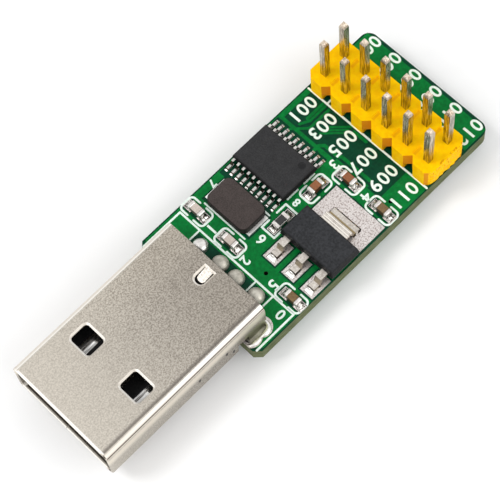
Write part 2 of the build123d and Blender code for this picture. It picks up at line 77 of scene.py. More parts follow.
def edges_of(node):
    """Lowest and highest corner of a solid, in millimetres."""
    low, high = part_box(node)
    return Vector(low) / MM, Vector(high) / MM


def middle_of(node):
    """Middle of a solid's box, in millimetres."""
    low, high = edges_of(node)
    return (low + high) / 2


def in_scene(name, data):
    """A new object of some data, put into the scene."""
    thing = bpy.data.objects.new(name, data)
    bpy.context.scene.collection.objects.link(thing)
    return thing


board_low, board_high = edges_of("circuit_board")
shell_low, shell_high = edges_of("plug_shell")
housing_low, housing_high = edges_of("header_housing")
BOARD_TOP = board_high.z
BOARD_BOTTOM = board_low.z
PAD_TOP = edges_of("tinned_pads")[1].z
HEADER = middle_of("header_housing")
CHIP = middle_of("chip_body")
CRYSTAL = middle_of("crystal_body")
REGULATOR = middle_of("regulator_body")
RESISTOR = middle_of("resistor_body")
CAPACITORS = [middle_of(f"capacitor_{number}_body") for number in range(1, 7)]
PIN_PITCH = 2.54
REGULATOR_PITCH = 2.3
CHIP_PITCH = 0.65
SHELL_HALF = 6.0  # half the width of the plug's shell without its tabs
print("board from", tuple(board_low), "to", tuple(board_high))
print(len(nodes), "solids loaded")

# %% [markdown]
# ## Camera
# The photograph looks down on the board from the plug's side, from far away
# through a long lens, so lines that are parallel on the board stay nearly
# parallel in the picture. The camera's place and turn are set by a matrix,
# because a matrix holds a measured direction without rounding it to angles.

# %% Camera
PICTURE_WIDTH = 500
FOCAL_PIXELS = 1850.63
SENSOR = 36
camera_data = bpy.data.cameras.new("camera")
camera = in_scene("camera", camera_data)
picture_right = Vector((0.70279, -0.70881, -0.0606))
picture_down = Vector((-0.67234, -0.63396, -0.38217))
view_direction = Vector((0.23247, 0.30933, -0.9221))
camera_spot = Vector((HEADER.x - 56.251, -51.275, BOARD_TOP + 152.614)) * MM
turn = Matrix((picture_right, -picture_down, -view_direction)).transposed()
camera.matrix_world = Matrix.Translation(camera_spot) @ turn.to_4x4()
camera_data.sensor_width = SENSOR
camera_data.lens = FOCAL_PIXELS * SENSOR / PICTURE_WIDTH
camera_data.clip_start = 0.01
bpy.context.scene.camera = camera
bpy.context.scene.view_settings.view_transform = "Standard"
print("camera at", tuple(camera_spot))

# %% [markdown]
# ## Helpers for node materials
# Every material below is a small network of nodes, and each node does one sum
# or one blend. Written out in full that takes many lines, so a node's output
# is wrapped in a small class that can be added and multiplied like a number:
# each plus or times sign places a node and links it. An output knows the tree
# that it stands in, so the helpers need no other hint of where to build, and
# square brackets pick another output of the same node.

# %% Node helpers
class Wire:
    """A node's output that takes part in sums as a number would."""

    def __init__(self, socket):
        self.socket, self.id_data = socket, socket.id_data

    def __getitem__(self, key):
        return Wire(self.socket.node.outputs[key])

    def __add__(self, other):
        return maths("ADD", self, other)

    def __sub__(self, other):
        return maths("SUBTRACT", self, other)

    def __rsub__(self, other):
        return maths("SUBTRACT", other, self)

    def __mul__(self, other):
        return maths("MULTIPLY", self, other)

    def __rtruediv__(self, other):
        return maths("DIVIDE", other, self)

    def __abs__(self):
        return maths("ABSOLUTE", self)


def feed(value, socket):
    """Link a wire to an input, or set the input to a plain value."""
    if isinstance(value, Wire):
        socket.id_data.links.new(value.socket, socket)
    else:
        socket.default_value = value


def add(owner, kind, inputs=None, **options):
    """Add a node to the tree that the owner is in, and return its first output."""
    made = owner.id_data.nodes.new(kind)
    for key, value in options.items():
        setattr(made, key, value)
    for key, value in (inputs or {}).items():
        feed(value, made.inputs[key])
    return Wire(made.outputs[0])


def first_wire(*values):
    """The first wire among some values."""
    return next(value for value in values if isinstance(value, Wire))


def maths(operation, first, second=0.0):
    """The result of one sum on two values, at least one of them a wire."""
    return add(first_wire(first, second), "ShaderNodeMath", {0: first, 1: second},
               operation=operation)


def along(operation, first, second):
    """The result of one sum on two vectors, the first a wire."""
    return add(first, "ShaderNodeVectorMath", {0: first, 1: second}, operation=operation)


def blend(share, first, second, way="MIX"):
    """A colour between two, each a wire, or three numbers as a picture shows them."""
    first, second = [tone(end) if isinstance(end, tuple) and len(end) == 3 else end
                     for end in (first, second)]
    return add(first_wire(share, first, second), "ShaderNodeMix",
               {0: share, 6: first, 7: second}, data_type="RGBA", blend_type=way)[2]


def between(value, low, high, to_low=0.0, to_high=1.0):
    """A value moved from one range to another, smoothly and held at the ends."""
    return add(value, "ShaderNodeMapRange", {0: value, 1: low, 2: high, 3: to_low, 4: to_high},
               interpolation_type="SMOOTHSTEP")


def mapped(share, low, high):
    """The number between two that a share from 0 to 1 stands for."""
    return between(share, 0.0, 1.0, low, high)


def tone(colour):
    """A colour as a picture shows it, 0 to 255, turned into the light it stands for."""
    steps = [c / 255 for c in colour]
    return tuple(c / 12.92 if c <= 0.04045 else ((c + 0.055) / 1.055) ** 2.4 for c in steps) + (1,)


def spot_of(owner):
    """The spot being painted, in the object's own metres."""
    return add(owner, "ShaderNodeTexCoord")["Object"]


def spot_in_mm(owner):
    """The spot being painted, in millimetres."""
    return along("MULTIPLY", spot_of(owner), (1 / MM, 1 / MM, 1 / MM))


def place_of(owner):
    """X, Y and Z of the spot being painted, in millimetres."""
    return add(owner, "ShaderNodeSeparateXYZ", {0: spot_in_mm(owner)})


def facing_of(owner):
    """X, Y and Z of the way the surface faces."""
    facing = add(owner, "ShaderNodeNewGeometry")["True Normal"]
    return add(owner, "ShaderNodeSeparateXYZ", {0: facing})


def noise_of(owner, scale, detail, vector=None, **more):
    """A noise map, over the object's own metres unless told otherwise."""
    return add(owner, "ShaderNodeTexNoise",
               {"Vector": vector or spot_of(owner), "Scale": scale, "Detail": detail, **more})


materials = {}


def paint(shader, **values):
    """Link wires to the shader's sockets, and set plain values on them."""
    for key, value in values.items():
        feed(value, shader.inputs[key.replace("_", " ")])


def start_material(name, **settings):
    """The shader of a new material."""
    materials[name] = bpy.data.materials.new(name)
    materials[name].use_nodes = True
    shader = materials[name].node_tree.nodes["Principled BSDF"]
    paint(shader, **settings)
    return shader


def reopen(name):
    """The shader of a material made before, and the colour that it has so far."""
    shader = materials[name].node_tree.nodes["Principled BSDF"]
    return shader, Wire(shader.inputs["Base Color"].links[0].from_socket)


print("node helpers ready")

# %% [markdown]
# ## Two effects that many surfaces share
# Moulded resin, satin steel and solder all have a fine grain, and tinned
# copper is speckled with small dull spots. Each effect is a node group, built
# once and used in many materials with its own numbers. A group gives out only
# maps, so the shader itself stays in the material.

# %% Shared effects: grain and speckle
def start_group(name, takes, gives):
    """A node group with named number inputs and outputs."""
    tree = bpy.data.node_groups.new(name, "ShaderNodeTree")
    for key, value in takes.items():
        socket = tree.interface.new_socket(key, in_out="INPUT", socket_type="NodeSocketFloat")
        socket.default_value = value
    for key in gives:
        tree.interface.new_socket(key, in_out="OUTPUT", socket_type="NodeSocketFloat")
    return tree, add(tree, "NodeGroupInput"), tree.nodes.new("NodeGroupOutput").inputs


PER_METRE = 1 / MM
BROADER = 9.0  # how much wider the broad mottling is than the grain
grain_group, given, result = start_group(
    "fine grain", {"Size": 0.1, "Stretch": 1.0, "Broad": 0.25}, ("Shade", "Height"))
stretch = add(grain_group, "ShaderNodeCombineXYZ", {0: 1.0, 1: given["Stretch"], 2: 1.0})
stretched = along("MULTIPLY", spot_of(grain_group), stretch)
grains = noise_of(grain_group, PER_METRE / given["Size"], 3.0, stretched, Roughness=0.6)
broad = noise_of(grain_group, PER_METRE / BROADER / given["Size"], 2.0, stretched)
mixed = grains * (1.0 - given["Broad"]) + broad * given["Broad"]
feed(between(mixed, 0.3, 0.7), result["Shade"])
feed(grains, result["Height"])

speckle_group, given, result = start_group(
    "speckle", {"Size": 0.15, "Share": 0.5}, ("Spots", "Height"))
spots = noise_of(speckle_group, PER_METRE / given["Size"], 2.0, Roughness=0.7)
threshold = between(0.95 - given["Share"], 0.0, 1.0, 0.35, 0.65)
feed(between(spots, threshold, threshold + 0.08), result["Spots"])
feed(spots, result["Height"])
print("shared effects:", grain_group.name, "and", speckle_group.name)


def effect(owner, group, **values):
    """Place a shared effect in a material with its own numbers."""
    return add(owner, "ShaderNodeGroup", values, node_tree=group)


def bump(height, strength, depth):
    """Small bumps on the surface from a height map; depth is in millimetres."""
    return add(height, "ShaderNodeBump",
               {"Strength": strength, "Distance": depth * MM, "Height": height})


# %% [markdown]
# ## Steel, tin and solder
# The plug's shell is satin nickel-plated steel: a grey metal with a grain of
# about a tenth of a millimetre. It is one metallic shader whose colour and
# roughness both follow the grain, so the grain shows in dull and in bright
# light. Solder is smoother and brighter, with slow waves from its cooling. The
# plug's contacts are rolled strip, so their grain is stretched into streaks.

# %% Metals
def grained_metal(name, dark, light, size, rough, rough_more, depth, stretch=1.0, broad=0.25):
    """A metal whose colour and roughness follow a fine grain."""
    shader = start_material(name, Metallic=1.0)
    grain = effect(shader, grain_group, Size=size, Stretch=stretch, Broad=broad)
    paint(shader, Base_Color=blend(grain["Shade"], dark, light),
          Roughness=mapped(grain["Shade"], rough + rough_more, rough),
          Normal=bump(grain["Height"], 0.5, depth))


grained_metal("plug_steel", (136, 129, 120), (202, 195, 184), 0.14, 0.36, 0.12, 0.012, 1.0, 0.06)
grained_metal("solder", (170, 166, 155), (212, 208, 197), 0.5, 0.48, 0.14, 0.02)
grained_metal("bright_solder", (206, 203, 199), (244, 241, 237), 0.4, 0.24, 0.12, 0.02)
grained_metal("contact_metal", (60, 56, 52), (255, 254, 252), 2.6, 0.1, 0.1, 0.004, 13.0, 0.05)
grained_metal("chip_lead_metal", (190, 186, 182), (228, 225, 220), 0.2, 0.25, 0.1, 0.01)
grained_metal("regulator_metal", (176, 168, 160), (226, 220, 212), 0.22, 0.3, 0.14, 0.012)
grained_metal("crystal_metal", (236, 234, 230), (254, 253, 251), 0.2, 0.4, 0.1, 0.01)
grained_metal("small_part_ends", (196, 190, 186), (238, 234, 230), 0.25, 0.34, 0.12, 0.012)
print("metals:", ", ".join(materials))

# %% [markdown]
# ## Tones of the plug's shell
# The rims where the sheet was pressed get a painted highlight. A rim face leans
# between lying flat and standing up, so the way it faces picks it out from the
# grained roof. The roof has painted light towards the mouth and at the far side
# of the rear, painted shade towards the rear and beside the fold, and a painted
# highlight on its lip at the mouth. The near fold has a painted highlight too,
# down to a fine painted dark line where its reflection turns, and the wall below
# it has a painted cream reflection and three small pits with painted shade. The
# floor just inside the mouth has painted shade, and the tabs at the rear have a
# painted reflection of the green board.

# %% The plug's shell
shader, satin = reopen("plug_steel")
facing = facing_of(shader)
place = place_of(shader)
lean = abs(facing["Z"])
rim = between(lean, 0.25, 0.55) * between(lean, 0.995, 0.93)
level = between(lean, 0.99, 0.999)
wall = between(lean, 0.3, 0.15)
rearwards = between(place["X"], shell_low.x, shell_high.x - 0.5)
far_rear_painted_light = rearwards * between(place["Y"], 0.0, SHELL_HALF)
# Painted light towards the mouth, painted shade towards the rear, and painted light again at the
# far side of the rear.
MOUTH_PAINTED_LIGHT, REAR_PAINTED_SHADE = (1.15, 1.16, 1.17, 1), (0.75, 0.74, 0.73, 1)
toned = blend(between(rearwards, 0.8, 0.0, 0.0, 0.5), satin, (173, 166, 155))
toned = blend(1.0, toned, blend(rearwards, MOUTH_PAINTED_LIGHT, REAR_PAINTED_SHADE), "MULTIPLY")
toned = blend(1.0, toned, blend(far_rear_painted_light, (1, 1, 1, 1), (1.24, 1.24, 1.22, 1)), "MULTIPLY")

from_mouth = place["X"] - shell_low.x
below_roof = shell_high.z - place["Z"]
from_near_wall = place["Y"] + SHELL_HALF
# Painted shade on the roof beside the near fold.
fold_side_shade = level * between(from_near_wall, 1.05, 0.7) * 0.8
toned = blend(fold_side_shade, toned, (104, 98, 92))
# A painted cream reflection on the upper part of the side walls.
toned = blend(wall * between(place["Z"], 4.4, 5.5), toned, (224, 216, 202))
# Painted shade on the floor just inside the mouth, under the roof.
mouth_floor_shade = between(facing["Z"], 0.99, 0.999) * between(place["Z"], 2.6, 2.45)
toned = blend(mouth_floor_shade * between(from_mouth, 0.12, 0.3), toned, (58, 53, 46))
# A painted highlight on the roof's lip at the mouth.
roof_lip_highlight = level * between(from_mouth, 0.3, 0.14) * between(below_roof, 0.1, 0.02)
toned = blend(roof_lip_highlight, toned, (248, 244, 237))
# A painted reflection of the green board on the tabs at the rear.
tab = wall * between(place["Z"], 4.5, 4.1) * between(place["X"] - board_low.x, 0.05, 0.2)
toned = blend(tab, toned, (150, 152, 126))
# Painted shade in three small pits on the near wall.
nearest_pit = 1000.0  # farther than any pit
for x, z in ((-9.11, 4.41), (-8.33, 3.58), (-12.41, 4.35)):
    gap = along("SUBTRACT", spot_in_mm(shader), (x, -SHELL_HALF, z))
    drawn = along("MULTIPLY", gap, (1, 1, 0.5))
    nearest_pit = maths("MINIMUM", nearest_pit, along("LENGTH", drawn, (0, 0, 0))["Value"])
toned = blend(between(nearest_pit, 0.19, 0.1), toned, (40, 32, 28))

# Painted highlights on the rims and the near fold, with a painted dark line where the fold's
# reflection turns; the rims are made less metallic so the painted highlight shows.
rim_highlight_tone = blend(between(abs(facing["Y"]), 0.3, 0.6), (242, 238, 231), (214, 207, 196))
fold_highlight = blend(rearwards, (222, 214, 203), (255, 251, 245))
fold_reflection_tone = blend(between(lean, 0.66, 0.76), (206, 197, 184), fold_highlight)
fold_reflection_tone = blend(between(abs(lean - 0.62), 0.1, 0.05), fold_reflection_tone, (72, 61, 50))
rim_highlight_tone = blend(between(from_near_wall, 0.9, 0.8), rim_highlight_tone, fold_reflection_tone)
paint(shader, Base_Color=blend(rim, toned, rim_highlight_tone), Metallic=mapped(rim, 1.0, 0.3))
print("the shell has", len(shader.id_data.nodes), "nodes")

# %% [markdown]
# ## Small fillets and sloping leads
# The fillets of solder at the parts' ends are steep and shiny, and their colour
# has painted light and dark streaks for reflections of lamps and dark parts. The
# bent leads have painted shade on their slopes, for the dark board they mirror,
# and the regulator's tab has painted shade in a valley and three painted
# highlight lines across its bend.

# %% Fillets and leads
shader = start_material("fillet_solder", Metallic=1.0)
# Painted reflections: light and dark streaks in the solder's colour.
streak = noise_of(shader, 3200.0, 3.0, Distortion=1.2)
streaked = between(streak, 0.42, 0.62)
paint(shader, Base_Color=blend(streaked, (70, 65, 60), (212, 208, 202)),
      Roughness=mapped(streaked, 0.28, 0.2), Normal=bump(streak, 0.5, 0.03))

# Solder with painted dark reflections, also used for thin sheets of painted shade round the
# regulator's feet and tab.
shader = start_material("painted_dark_fillet", Metallic=1.0, Roughness=0.35)
streak = noise_of(shader, 2600.0, 2.0)
paint(shader, Base_Color=blend(between(streak, 0.5, 0.68), (52, 46, 42), (200, 194, 186)))

# Painted shade on the leads' slopes, for the dark board they would mirror.
for name, steep in (("chip_lead_metal", (74, 66, 54)), ("regulator_metal", (158, 148, 132))):
    shader, plain = reopen(name)
    sloping = between(facing_of(shader)["Z"], 0.97, 0.85)
    paint(shader, Base_Color=blend(sloping, plain, steep))
shader, plain = reopen("regulator_metal")
out = place_of(shader)["X"] - REGULATOR.x
# Painted shade in the valley of the tab.
valley_shade = between(out, 2.7, 2.74) * between(out, 3.06, 2.96)
plain = blend(valley_shade, plain, (152, 136, 104))
# Three painted highlight lines across the tab's bend.
for line in (1.9, 2.12, 2.44):
    plain = blend(between(abs(out - line), 0.05, 0.02), plain, (252, 246, 236))
paint(shader, Base_Color=plain)
print("fillets and sloping leads ready")

# %% [markdown]
# ## Tinned pads
# The bare pads are copper dipped in solder and then levelled: whitish, with a
# faint pink where the tin is thin, and full of small dull spots. The speckle
# group picks the spots, and the same map makes them a little rougher.

# %% Tinned pads
shader = start_material("tinned_copper", Metallic=0.85)
coarse = effect(shader, speckle_group, Size=0.16, Share=0.42)
fine = effect(shader, grain_group, Size=0.09)
pad_tin = blend(fine["Shade"], (206, 197, 194), (232, 227, 224))
paint(shader, Base_Color=blend(coarse["Spots"], pad_tin, (168, 156, 152)),
      Roughness=mapped(coarse["Spots"], 0.34, 0.52),
      Normal=bump(coarse["Height"], 0.6, 0.02))
print("pads painted")

# %% [markdown]
# ## Pins
# The pins are bright square wire, drawn through a die, so they carry long
# streaks. Their cut tips are duller and warmer. The height above the board
# picks the tips.

# %% Pins
TIP_LENGTH = 0.6
shader = start_material("pin_metal", Metallic=1.0)
streaks = effect(shader, grain_group, Size=0.11)
drawn = along("MULTIPLY", spot_of(shader), (1.0, 1.0, 0.06))
lines = noise_of(shader, 11000.0, 2.0, drawn)
wire = blend(between(lines, 0.4, 0.6), (122, 112, 98), (214, 205, 190))
below_top = edges_of("header_pin_01")[1].z - place_of(shader)["Z"]
tip = between(below_top, TIP_LENGTH, TIP_LENGTH / 2)
cut_metal = blend(streaks["Shade"], (150, 126, 92), (250, 238, 224))
paint(shader, Base_Color=blend(tip, wire, cut_metal), Roughness=mapped(tip, 0.24, 0.5),
      Normal=bump(lines, 0.4, 0.01))
print("pins are tipped over their last", TIP_LENGTH, "mm")

# %% [markdown]
# ## Moulded plastics and ceramics
# The header is a warm yellow, slightly mottled nylon, browner where it was
# torn, with a short dash in the middle of each joint and painted shade on its
# slanted near sides. The chip, the regulator and the crystal's case are dark
# resin with a fine matt texture from the mould, with painted shade on their
# steep sides. The capacitors are fired ceramic, each kind with its own tint and
# with painted shade on its steep sides.

# %% Plastics and ceramics
def moulded(name, dark, light, size, rough, depth, specular=0.5, side=None):
    """A plastic or ceramic, finely mottled, with painted shade on steep sides when a side colour is
    given.
    """
    shader = start_material(name, Specular_IOR_Level=specular)
    grain = effect(shader, grain_group, Size=size)
    colour = blend(grain["Shade"], dark, light)
    # Painted shade: steep sides get a darker colour.
    if side:
        colour = blend(between(facing_of(shader)["Z"], 0.9, 0.6), colour, side)
    paint(shader, Base_Color=colour,
          Roughness=mapped(grain["Shade"], rough + 0.08, rough - 0.05),
          Normal=bump(grain["Height"], 0.6, depth))


moulded("header_plastic", (250, 186, 0), (255, 204, 0), 0.5, 0.5, 0.01, 0.05)
moulded("insulator_plastic", (14, 14, 15), (24, 24, 25), 0.2, 0.5, 0.01, 0.15)
moulded("chip_resin", (42, 42, 43), (56, 56, 57), 0.09, 0.65, 0.012, 0.1, (26, 26, 27))
moulded("regulator_resin", (34, 35, 37), (54, 55, 58), 0.2, 0.55, 0.014, 0.14, (18, 18, 20))
moulded("crystal_case", (55, 49, 47), (75, 67, 65), 0.1, 0.6, 0.01, 0.12, (36, 32, 31))
moulded("ceramic_brown", (124, 77, 48), (150, 99, 66), 0.16, 0.42, 0.008, 0.25, (78, 46, 28))
moulded("ceramic_olive", (100, 80, 52), (126, 104, 72), 0.16, 0.42, 0.008, 0.25, (66, 52, 34))
moulded("ceramic_pale", (182, 170, 160), (206, 194, 184), 0.16, 0.42, 0.008, 0.25, (96, 88, 80))
moulded("resistor_ceramic", (214, 212, 206), (232, 230, 224), 0.12, 0.5, 0.008)
moulded("resistor_black", (28, 28, 28), (44, 43, 42), 0.12, 0.4, 0.008)

shader, plain = reopen("header_plastic")
place = place_of(shader)
off_row = abs(abs(place["X"] - HEADER.x) - PIN_PITCH / 2)
off_joint = maths("PINGPONG", place["Y"], PIN_PITCH / 2)
inside = between(housing_high.y - abs(place["Y"]), 0.8, 1.0)
on_top = between(housing_high.z - place["Z"], 0.1, 0.02)
dash = between(off_row, 0.5, 0.42) * between(off_joint, 0.17, 0.1) * inside * on_top
plain = blend(dash, plain, (222, 138, 8))
# Painted shade on the header's slanted near sides.
sideways = facing_of(shader)["Y"]
slanted_shade = between(sideways, -0.35, -0.6) * between(sideways, -0.95, -0.8)
plain = blend(slanted_shade, plain, (222, 142, 18))
crumbs = effect(shader, speckle_group, Size=0.3, Share=0.35)
brown = blend(crumbs["Spots"], (255, 196, 0), (216, 146, 4))
torn = between(place["Y"] - housing_low.y, 0.36, 0.28)
paint(shader, Base_Color=blend(torn, plain, brown))

shader, resin = reopen("chip_resin")
place = place_of(shader)
flat_spot = add(shader, "ShaderNodeCombineXYZ", {0: place["X"], 1: place["Y"]})
off_dimple = along("DISTANCE", flat_spot, (CHIP.x + 1.33, CHIP.y - 2.2, 0))["Value"]
paint(shader, Base_Color=blend(between(off_dimple, 0.38, 0.2), resin, (36, 36, 37)))
print("plastics and ceramics ready,", len(materials), "materials so far")

# %% [markdown]
# ## The board itself
# The board is glass cloth and resin under a thin green lacquer. From above
# only the lacquer shows; the cut edges show the bare laminate in thin layers,
# and the holes are lined with dark, dull metal. One material does all three:
# the way the surface faces picks the lacquer, and the distance from the
# outline tells an outer edge from a hole.

# %% Board material
MASK_DARK = ((0, 52, 34), (0, 68, 43))
MASK_BRIGHT = ((0, 98, 42), (0, 122, 52))
EDGE_DEPTH = 0.02  # how near the outline a spot counts as on the outer edge
CORNER_CUT = 1.0
STRANDS_PER_MM, PLIES_PER_MM = 0.9, 9.0


def lacquer(shader, shades):
    """Colour and height of green lacquer, a little uneven."""
    grain = effect(shader, grain_group, Size=0.35)
    return blend(grain["Shade"], *shades), grain["Height"]


shader = start_material("board", Specular_IOR_Level=0.1)
green, green_height = lacquer(shader, MASK_DARK)
place = place_of(shader)
flat = between(abs(facing_of(shader)["Z"]), 0.45, 0.55)
half = (board_high - board_low) / 2
from_end = abs(place["X"] - (board_high.x + board_low.x) / 2) - half.x
from_side = abs(place["Y"]) - half.y
outer = maths("MAXIMUM",
              maths("GREATER_THAN", maths("MAXIMUM", from_end, from_side), -EDGE_DEPTH),
              maths("GREATER_THAN", from_end + from_side, -CORNER_CUT - EDGE_DEPTH))
strands = (place["X"] + place["Y"]) * STRANDS_PER_MM
layered = add(shader, "ShaderNodeCombineXYZ", {0: strands, 1: place["Z"] * PLIES_PER_MM})
layers = noise_of(shader, 1.0, 3.0, layered)
laminate = blend(between(layers, 0.35, 0.65), (68, 76, 44), (108, 114, 80))
edge = blend(outer, (44, 37, 30), laminate)
paint(shader, Base_Color=blend(flat, edge, green), Roughness=mapped(flat, 0.6, 0.3),
      Normal=bump(green_height + layers, 0.25, 0.02))

shader = start_material("lacquer_over_copper", Specular_IOR_Level=0.1, Roughness=0.28)
green, green_height = lacquer(shader, MASK_BRIGHT)
paint(shader, Base_Color=green, Normal=bump(green_height, 0.25, 0.02))

shader = start_material("white_print", Specular_IOR_Level=0.3, Roughness=0.55)
ink = effect(shader, grain_group, Size=0.14)
paint(shader, Base_Color=blend(ink["Shade"], (214, 234, 222), (244, 252, 246)),
      Normal=bump(ink["Height"], 0.4, 0.01))

for part in frame["record"]["subparts"]:
    piece = nodes[part["node"]]
    piece.data.materials.clear()
    piece.data.materials.append(materials[part["material_slot"]])

# %% [markdown]
# ## Thin flat layers
# Copper, lacquer and print are flat layers a few hundredths of a millimetre
# thick. Each is drawn as flat outlines in millimetres. A constrained
# triangulation merges the outlines and cuts the clearances out in one step,
# which is steadier than a boolean on such thin shapes. The flat triangles are
# then raised into a closed sheet.

# %% Flat sheets and strokes
def new_piece(name, mesh, material):
    """An object at the origin with its place in its mesh, riding on the board."""
    piece = in_scene(name, mesh)
    mesh.materials.clear()
    mesh.materials.append(materials[material])
    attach(piece, "root")
    return piece


def mesh_from(build, name, scale=1.0):
    """The mesh of a closed shape, its faces turned outwards and its size scaled."""
    bmesh.ops.recalc_face_normals(build, faces=build.faces)
    bmesh.ops.scale(build, vec=(scale, scale, scale), verts=build.verts)
    mesh = bpy.data.meshes.new(name)
    build.to_mesh(mesh)
    build.free()
    return mesh


def turned_left(outline):
    """The outline with its points in counter-clockwise order."""
    area = sum(a[0] * b[1] - b[0] * a[1] for a, b in zip(outline, outline[1:] + outline[:1]))
    return outline if area > 0 else outline[::-1]


def sheet(name, shapes, cuts, level, thickness, over=()):
    """A closed thin mesh: the shapes, less the cuts, with some laid over, raised from a level."""
    points, loops = [], []
    last_cut = len(shapes) + len(cuts)
    for outline in shapes + cuts + list(over):
        outline = turned_left([tuple(p) for p in outline])
        loops.append(list(range(len(points), len(points) + len(outline))))
        points += [Vector(p) for p in outline]
    flat = delaunay_2d_cdt(points, [], loops, 1, 1e-5)
    build = bmesh.new()
    corners = [build.verts.new((p.x, p.y, level)) for p in flat[0]]
    for triangle, owners in zip(flat[2], flat[5]):
        cut_away = any(len(shapes) <= owner < last_cut for owner in owners)
        laid_over = any(owner >= last_cut for owner in owners)
        if laid_over or (owners and not cut_away):
            build.faces.new([corners[i] for i in triangle])
    loose = [v for v in build.verts if not v.link_faces]
    bmesh.ops.delete(build, geom=loose, context="VERTS")
    raised = bmesh.ops.extrude_face_region(build, geom=build.faces[:], use_keep_orig=True)
    for part in raised["geom"]:
        if isinstance(part, bmesh.types.BMVert):
            part.co.z += thickness
    return mesh_from(build, name, MM)


def flat_piece(name, material, *about_sheet):
    """A thin sheet as a finished piece."""
    return new_piece(name, sheet(name, *about_sheet), material)


def stroke(points, width, corners=5, from_x=0.0, from_y=0.0):
    """Outlines of a line drawn with a round pen, its points counted from an origin."""
    shapes = []
    spots = [Vector((from_x + x, from_y + y)) for x, y in points]
    for start, end in zip(spots, spots[1:]):
        ahead = (end - start).normalized()
        outline = []
        for tip, way in ((end, ahead), (start, -ahead)):
            left = Vector((-way.y, way.x))
            for step in range(corners + 1):
                angle = pi * (step / corners - 0.5)
                outline.append(tip + (way * cos(angle) + left * sin(angle)) * width / 2)
        shapes.append(outline)
    return shapes


def rectangle(middle, length, width):
    """Corners of an upright rectangle, turning left from the upper right one."""
    return [(middle[0] + side * length / 2, middle[1] + end * width / 2)
            for side, end in ((1, 1), (-1, 1), (-1, -1), (1, -1))]


def ring(middle, radius, steps=20):
    """Points of a circle."""
    return [(middle[0] + radius * cos(2 * pi * k / steps),
             middle[1] + radius * sin(2 * pi * k / steps)) for k in range(steps)]


def rounded(middle, length, width, radius, steps=8):
    """Points of a rectangle with round corners, from its right side round to it again."""
    points = []
    for turn, (x, y) in enumerate(rectangle(middle, length - 2 * radius, width - 2 * radius)):
        for step in range(steps + 1):
            angle = pi / 2 * (turn + step / steps)
            points.append((x + radius * cos(angle), y + radius * sin(angle)))
    return points


print("sheet, stroke, rectangle, ring and rounded ready")

# %% [markdown]
# ## Copper under the lacquer
# Where copper lies under it the lacquer is a bright green, and where there is
# none it is dark. The copper is one wide ground area with clearances round the
# pads and vias, and thin tracks in the dark field beside the header. Both are
# raised by a few hundredths of a millimetre, as the real lacquer is.

# %% Copper areas
COPPER_THICKNESS = 0.03
CLEARANCE = 0.17
GROUND_INSET = 0.14
GROUND_CORNER = 0.9
VIA_RADIUS = 0.2
NEAR, FAR, SIDE = board_low.x, board_high.x, board_high.y
LINE_X = HEADER.x - 2.555  # the printed line beside the header
TAIL_X = middle_of("contact_solder").x
CONTACT_YS = (3.5, 1.0, -1.0, -3.5)
SLOT_X, SLOT_Y = NEAR + 1.48, 5.95
SIDES = (-1, 1)
FEET = (-1, 0, 1)

edge_x, edge_y = NEAR + GROUND_INSET, SIDE - GROUND_INSET
corner_x, corner_y = NEAR + GROUND_CORNER, SIDE - GROUND_CORNER
end_x = LINE_X + 0.15
wide_area = [(corner_x, -edge_y), (end_x, -edge_y), (end_x, edge_y), (corner_x, edge_y),
             (edge_x, corner_y), (edge_x, -corner_y)]
rear_x = (FAR + HEADER.x) / 2 + 1.1
rear_strip = rectangle((rear_x, 0), FAR - HEADER.x - 2.9, 2 * edge_y - 0.1)
label_field = rectangle((LINE_X - 1.75, 0.95), 3.8, 12.0)
chip_field = rectangle((CHIP.x - 0.1, CHIP.y + 0.1), 7.7, 6.3)
dome_field = rectangle((TAIL_X + 0.1, 0), 1.5, 9.0)
pads = [(CAPACITORS[0], 2.66, 0.91)] + [(spot, 0.91, 2.66) for spot in CAPACITORS[1:]]
pads += [(RESISTOR, 2.7, 0.91)]
pads += [((REGULATOR.x - 2.97, REGULATOR.y + REGULATOR_PITCH * step), 2.4, 1.5) for step in FEET]
pads += [((REGULATOR.x + 3.42, REGULATOR.y), 3.7, 6.0), (CRYSTAL, 2.66, 5.66)]
via_rings = [ring(spot, VIA_RADIUS) for spot in ((HEADER.x - 18.4, -2.7), (HEADER.x - 5.73, -5.97))]

clearances = [label_field, chip_field, dome_field]
clearances += [rectangle(spot, length + 2 * CLEARANCE, width + 2 * CLEARANCE)
               for spot, length, width in pads]
clearances += via_rings
for side in SIDES:
    clearances += stroke([(-0.73, 0), (0.73, 0)], 1.05, 8, SLOT_X, SLOT_Y * side)
print(len(clearances), "clearances in the copper")

# %% Tracks, and the copper underneath
TRACKS = (  # the pen's width and the points, counted from the printed line
    (0.26, (-4.2, 5.75), (-2.9, 4.45), (-0.3, 4.45)),
    (0.26, (-3.2, 5.4), (-2.3, 4.95), (-0.3, 4.95)),
    (0.3, (-2.3, 5.28), (-0.2, 5.28)),
    (0.22, (-2.6, 3.35), (-1.0, 1.75)),
    (0.22, (-2.18, 3.35), (-0.58, 1.75)),
    (0.22, (-1.76, 3.35), (-0.16, 1.75)),
    (0.34, (-4.2, 2.6), (-3.6, 2.6), (-3.2, 2.2), (-3.2, 0.6), (-2.95, 0.3), (-2.95, -3.2)),
    (0.45, (-3.85, 2.15), (-3.85, 0.9)),
    (0.2, (-3.5, 0.4), (-3.5, -3.4)),
    (0.16, (-3.2, -5.12), (-0.25, -5.12)),
    (0.16, (-3.2, -5.42), (-0.25, -5.42)),
    (0.3, (-0.35, 1.2), (-0.35, -0.3)))
tracks = []
for width, *points in TRACKS:
    tracks += stroke(points, width, from_x=LINE_X)
copper = flat_piece("copper_areas", "lacquer_over_copper", [wide_area, rear_strip], clearances,
                    BOARD_TOP, COPPER_THICKNESS, tracks)
print("copper areas and", len(tracks), "stretches of track:", len(copper.data.polygons), "faces")

